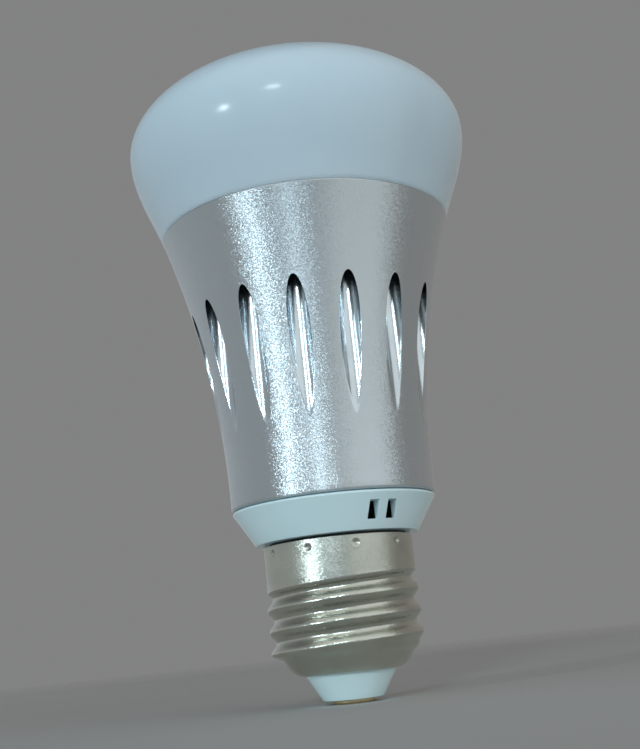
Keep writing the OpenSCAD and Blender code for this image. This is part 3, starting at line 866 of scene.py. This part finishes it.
def colour_leds():
    """White packages with clear gel over four small dies."""
    count, radius, turn, size = LED_RINGS[1]
    tall, die_off, die_w, die_h = 1.1 * MM, 0.42 * MM, 0.36 * MM, 0.06 * MM
    verts, faces, looks = [], [], []
    for x, y, a in around(count, radius, turn):
        add_led(verts, faces, looks, (x, y, a), size, tall, bevel=0.15 * MM, gel_r=1.4 * MM,
                gel_h=0.03 * MM)
        for i, j in ((-1, -1), (-1, 1), (1, -1), (1, 1)):
            off = Vector((i * die_off, j * die_off, 0))
            off.rotate(Matrix.Rotation(a, 3, "Z"))
            add_box(verts, faces, Vector((x, y, LEDS_Z + tall + die_h / 2)) + off,
                    (die_w, die_w, die_h), a)
            paint(looks, faces, 2)
    piece = make("colour_led_ring", verts, faces, [LED_WHITE, GEL, GOLD], slot="clear_gel",
                 face_slots=looks, sharp=30)
    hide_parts("colour_leds")


def board_screws():
    """Pan heads with a cross recess."""
    columns, cross_depth, shank_r = 48, 0.5 * MM, 0.98 * MM
    verts, faces = [], []
    for x, y, _ in around(3, CHANNEL_CIRCLE, SCREW_TURN):
        head = outline(in_mm([(0.001, 0), (1.9, 0, 0.08), (1.9, 0.7, 0.35), (1.1, 1.25, 0.5),
                              (0.001, 1.3)]))
        first = len(verts)
        for r, z in head:
            for t in angles(columns):
                arm = abs(sin(2 * t))
                sunk = ramp(1.15 * MM, 0.95 * MM, r) * (1 - ramp(0.25, 0.5, arm))
                verts.append((x + r * cos(t), y + r * sin(t),
                              LEDS_Z + z - (cross_depth * sunk if z > 1.0 * MM else 0)))
        faces += ring_faces(len(head), columns, first, closed=True)
        add_tube(verts, faces, [Vector((x, y, LEDGE_Z - 5 * MM)), Vector((x, y, LEDS_Z))],
                 shank_r)
    piece = make("board_screw_set", verts, faces, [ZINC], slot="screw_steel", sharp=35)
    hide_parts("board_screws")


WIRES, WIRE_PITCH = 5, 1.25 * MM


def led_connector():
    """Five-way housing: walls round a mouth, ribs and tinned feet."""
    verts, faces, looks = [], [], []
    z, back, wide, deep = LEDS_Z, -10.2 * MM, 6.4 * MM, 3.8 * MM
    middle, mouth_z, mouth_h = back + deep / 2, z + 1.95 * MM, 1.5 * MM
    parts = [((0, middle, z + 0.6 * MM), (wide, deep, 1.2 * MM), 0),
             ((0, middle, z + 3.15 * MM), (wide, deep, 0.9 * MM), 0),
             ((0, back + 0.4 * MM, mouth_z), (wide, 0.8 * MM, mouth_h), 0)]
    parts += [((side * 3.1 * MM, middle, mouth_z), (0.2 * MM, deep, mouth_h), 0)
              for side in (-1, 1)]
    ways = [(i - (WIRES - 1) / 2) * WIRE_PITCH for i in range(WIRES)]
    parts += [((x, middle + 0.3 * MM, z + 3.65 * MM), (0.5 * MM, 2.4 * MM, 0.12 * MM), 0)
              for x in ways]
    parts += [((x, back - 0.4 * MM, z + 0.12 * MM), (0.4 * MM, 0.9 * MM, 0.2 * MM), 1)
              for x in ways]
    for centre, size, look in parts:
        add_box(verts, faces, centre, size, 0.0, 0.05 * MM)
        paint(looks, faces, look)
    piece = make("led_connector_housing", verts, faces, [IVORY, TIN], slot="ivory_nylon",
                 face_slots=looks, sharp=30)
    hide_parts("led_connector")


def led_wires():
    """Five wires, one colour each, from the driver board to the connector."""
    colours = {"white": (0.70, 0.70, 0.66), "red": (0.45, 0.02, 0.02),
               "green": (0.02, 0.22, 0.05), "blue": (0.02, 0.07, 0.35),
               "black": (0.015, 0.015, 0.016)}
    sleeves = [wire_sleeve("wire_" + name, colour) for name, colour in colours.items()]
    verts, faces, looks = [], [], []
    radius, mouth_z = 0.42, LEDS_Z / MM + 1.9
    for i in range(WIRES):
        low_x, top_x = 1.6 + 1.3 * i, (i - (WIRES - 1) / 2) * WIRE_PITCH / MM
        route = smooth_route([
            (low_x, 3 - radius, 64.5), (low_x, 2, 65.6), (low_x, -2.6, 69),
            ((low_x + top_x) / 2, -3.7, 74), (top_x, -3.9, 80), (top_x, -4.4, 83.4),
            (top_x, -6.0, mouth_z), (top_x, -9.0, mouth_z)], 8)
        add_tube(verts, faces, route, radius * MM)
        paint(looks, faces, i)
    piece = make("led_wire_loom", verts, faces, sleeves, slot="wire_sleeves", face_slots=looks)
    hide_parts("led_wires")


def wifi_board():
    """Upright radio board with a folded aerial at its top and small parts on its back."""
    low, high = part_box("wifi_board")
    verts, faces, looks = [], [], []

    def block(centre, size, look, bevel=0.0):
        add_box(verts, faces, centre, size, 0.0, bevel)
        paint(looks, faces, look)

    block((low + high) / 2, high - low, 0, 0.06 * MM)
    thin, track = 0.04 * MM, 0.35 * MM
    aerial_low, aerial_high, pitch = high.z - 3.6 * MM, high.z - 0.7 * MM, 1.5 * MM
    legs = 9
    for face_y in (low.y, high.y):
        for i in range(legs):
            x = (i - (legs - 1) / 2) * pitch
            block((x, face_y, (aerial_low + aerial_high) / 2),
                  (track, thin, aerial_high - aerial_low + track), 1)
            if i < legs - 1:
                z = aerial_high if i % 2 == 0 else aerial_low
                block((x + pitch / 2, face_y, z), (pitch, thin, track), 1)
    random.seed(7)
    filled, chip_rows, chip_columns = 0.8, 3, 4
    first_z, step_x, step_z = 84.6 * MM, 3.2 * MM, 2.1 * MM
    for row in range(chip_rows):
        for column in range(chip_columns):
            if random.random() < filled:
                x, z = (column - (chip_columns - 1) / 2) * step_x, first_z + row * step_z
                block((x, high.y + 0.22 * MM, z), (1.0 * MM, 0.44 * MM, 0.5 * MM), 2, 0.04 * MM)
                for side in (-1, 1):
                    block((x + side * 0.6 * MM, high.y + 0.2 * MM, z),
                          (0.25 * MM, 0.42 * MM, 0.52 * MM), 3)
    piece = make("wifi_board_upright", verts, faces, [MASK_DARK, GOLD, CHIP, TIN],
                 slot="dark_mask", face_slots=looks, sharp=30)
    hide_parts("wifi_board")


def wifi_shield():
    """Shield can: a pressed lid with rounded edges over a low frame."""
    low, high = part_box("wifi_shield")
    size, middle = high - low, (low + high) / 2
    verts, faces = [], []
    # the can is drawn flat and stood up, so that its bevelled top faces -Y
    add_box(verts, faces, (0, 0, size.y / 2), (size.x, size.z, size.y), 0, 0.45 * MM)
    for x in (-4, 0, 4):
        add_disc(verts, faces, (x * MM, 0, size.y - 0.03 * MM), 0.35 * MM, 0.03 * MM)
    add_box(verts, faces, (0, 0, 0.2 * MM), (size.x, size.z, 0.4 * MM))
    stand = Matrix.Translation((middle.x, high.y, middle.z)) @ Matrix.Rotation(pi / 2, 4, "X")
    verts = [stand @ Vector(v) for v in verts]
    piece = make("wifi_shield_can", verts, faces, [TIN], slot="shield_steel", sharp=50)
    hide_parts("wifi_shield")


def carried_nodes():
    """Materials for the CAD nodes that are shown as they are."""
    looks = {
        "driver_cover": WHITE, "thermal_pad": SILICONE, "pin_header": BLACK,
        "driver_board": MASK_GREEN, "input_capacitor": SLEEVE, "output_capacitor": SLEEVE,
        "transformer_core": FERRITE, "transformer_bobbin": BLACK, "transformer_winding": TAPE,
        "choke_core": FERRITE, "choke_coil": COPPER, "film_capacitor": EPOXY,
        "bridge_rectifier": BLACK, "fuse_resistor": CEMENT, "driver_chips": BLACK,
        "smd_parts": CHIP, "live_wire": wire_sleeve("wire_live", (0.35, 0.03, 0.02)),
        "neutral_wire": wire_sleeve("wire_neutral", (0.015, 0.015, 0.016)),
    }
    for name, material in looks.items():
        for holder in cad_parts[name].material_slots:
            holder.material = material


# ---- stage, lights and camera
def pale_floor():
    """Matt floor that fades into the backdrop, paler in reflections and clear from below."""
    look = Look("pale_floor")
    seen = look.blend(look.spread(look.noise(8), 0, 1), (0.52, 0.505, 0.49), (0.54, 0.525, 0.51))
    ray = look.add("ShaderNodeLightPath")
    look.drive("Base Color", look.blend(ray.outputs["Is Glossy Ray"], seen, (0.72, 0.70, 0.66)))
    look.drive("Roughness", look.spread(look.noise(300), 0.7, 0.9))
    look.sockets({"Specular IOR Level": 0.0})
    reach = look.add("ShaderNodeVectorMath", operation="LENGTH")
    look.link(look.place, reach.inputs[0])
    fade_start, fade_end = 0.25, 0.9
    faded = look.spread(reach.outputs["Value"], 0, 1, fade_start, fade_end, soft=True)
    behind = look.add("ShaderNodeNewGeometry").outputs["Backfacing"]
    mix = look.add("ShaderNodeMixShader")
    look.link(look.math("MAXIMUM", faded, behind), mix.inputs["Fac"])
    look.link(look.shader.outputs["BSDF"], mix.inputs[1])
    look.link(look.add("ShaderNodeBsdfTransparent").outputs["BSDF"], mix.inputs[2])
    look.link(mix.outputs["Shader"], look.output.inputs["Surface"])
    return look.material


def stage():
    """A wide pale floor that the contact stands on."""
    half = 1.0
    mesh = bpy.data.meshes.new("floor")
    mesh.from_pydata([(-half, -half, 0), (half, -half, 0), (half, half, 0), (-half, half, 0)],
                     [], [(0, 1, 2, 3)])
    mesh.materials.append(pale_floor())
    floor = put("floor", mesh)


def towards(azimuth, elevation):
    """A direction: azimuth 0 is -Y, towards the camera, and 90 is +X."""
    a, e = radians(azimuth), radians(elevation)
    return Vector((sin(a) * cos(e), -cos(a) * cos(e), sin(e)))


def lamp(name, azimuth, elevation, width, height, power):
    """A cool lamp that faces a point of the axis just below the heat sink's rim."""
    distance, cool = 1.5, (0.73, 0.91, 1.0)
    data = bpy.data.lights.new(name, "AREA")
    data.shape, data.size, data.size_y = "RECTANGLE", width, height
    data.energy, data.color = power, cool
    light = put(name, data)
    aim = Vector((0, 0, 80 * MM))
    light.location = aim + towards(azimuth, elevation) * distance
    light.rotation_euler = (light.location - aim).to_track_quat("Z", "Y").to_euler()


def patch(tree, azimuth, elevation, across, upright):
    """A mask that is 1 inside a patch of the sky and fades out over its soft edges."""
    soft = 6
    masks = []
    for value, (low, high) in ((azimuth, across), (elevation, upright)):
        masks.append(tree.spread(value, 0, 1, low - soft, low, soft=True))
        masks.append(tree.spread(value, 1, 0, high, high + soft, soft=True))
    product = masks[0]
    for mask in masks[1:]:
        product = tree.math("MULTIPLY", product, mask)
    return product


def round_patch(tree, way, azimuth, elevation, inside, outside):
    """A mask that is 1 within so many degrees of a direction and fades out further off."""
    node = tree.add("ShaderNodeVectorMath", operation="DOT_PRODUCT")
    tree.link(way, node.inputs[0])
    node.inputs[1].default_value = towards(azimuth, elevation)
    return tree.spread(node.outputs["Value"], 0, 1, cos(radians(outside)), cos(radians(inside)),
                       soft=True)


def studio():
    """Soft surroundings: a panel on the right and, in reflections only, a bright overhead
    and a blue patch in front; a fill in front lights matt surfaces only."""
    world = bpy.data.worlds.new("studio")
    world.use_nodes = True
    tree = Tree(world.node_tree)
    way = tree.add("ShaderNodeTexCoord").outputs["Generated"]
    parts = tree.add("ShaderNodeSeparateXYZ")
    tree.link(way, parts.inputs["Vector"])
    x, y, z = (parts.outputs[axis] for axis in "XYZ")
    to_degrees = 180 / pi
    azimuth = tree.math("MULTIPLY", tree.math("ARCTAN2", x, tree.math("MULTIPLY", y, -1)),
                        to_degrees)
    elevation = tree.math("MULTIPLY", tree.math("ARCSINE", z), to_degrees)
    colour = tree.blend(tree.spread(elevation, 0, 1, 10, 50), (0.48, 0.51, 0.525),
                        (0.12, 0.125, 0.13))
    right_side = patch(tree, azimuth, elevation, (82, 168), (-90, 90))
    colour = tree.blend(right_side, colour, (0.34, 0.325, 0.31))
    overhead = round_patch(tree, way, azimuth=5, elevation=58, inside=36, outside=54)
    front = patch(tree, azimuth, elevation, (-32, 14), (-40, 0))
    mirrored = tree.blend(front, colour, (0.07, 0.20, 0.38))
    mirrored = tree.blend(overhead, mirrored, (0.95, 0.97, 0.93))
    fill = patch(tree, azimuth, elevation, (-20, 32), (-14, 22))
    scattered = tree.blend(fill, colour, (1.29, 1.38, 1.42))
    ray = tree.add("ShaderNodeLightPath")
    colour = tree.blend(ray.outputs["Is Glossy Ray"], scattered, mirrored)
    panel = patch(tree, azimuth, elevation, (20, 74), (-35, 40))
    colour = tree.blend(panel, colour, (1.05, 1.12, 1.13))
    seen = tree.blend(ray.outputs["Is Camera Ray"], colour, (0.225, 0.226, 0.226))
    background = tree.add("ShaderNodeBackground")
    tree.link(seen, background.inputs["Color"])
    output = tree.add("ShaderNodeOutputWorld")
    tree.link(background.outputs["Background"], output.inputs["Surface"])
    bpy.context.scene.world = world
    bpy.context.scene.view_settings.view_transform = "Standard"


def lights():
    lamp("ceiling_lamp", azimuth=-10.5, elevation=17, width=0.20, height=0.05, power=3.4)
    lamp("side_lamp", azimuth=-43, elevation=7, width=0.12, height=0.04, power=4.6)


def camera():
    """Level with the cap, looking up along the bulb and a little tilted."""
    distance, height = 0.1979, 0.0103
    pitch, roll = radians(13.25), radians(-6.0)
    data = bpy.data.cameras.new("camera")
    data.lens, data.sensor_width = 54.46, 36
    data.clip_start = 0.01
    view = put("camera", data)
    ahead = Vector((0, cos(pitch), sin(pitch)))
    right, up = Vector((1, 0, 0)), Vector((0, -sin(pitch), cos(pitch)))
    x_axis = right * cos(roll) + up * sin(roll)
    y_axis = up * cos(roll) - right * sin(roll)
    turn = Matrix((x_axis, y_axis, -ahead)).transposed()
    view.matrix_world = Matrix.Translation((0, -distance, height)) @ turn.to_4x4()
    bpy.context.scene.camera = view


camera()
stage()
studio()
lights()
diffuser()
heat_sink()
driver_housing()
screw_shell()
insulator()
contact()
led_board()
white_leds()
colour_leds()
board_screws()
led_connector()
led_wires()
wifi_board()
wifi_shield()
carried_nodes()
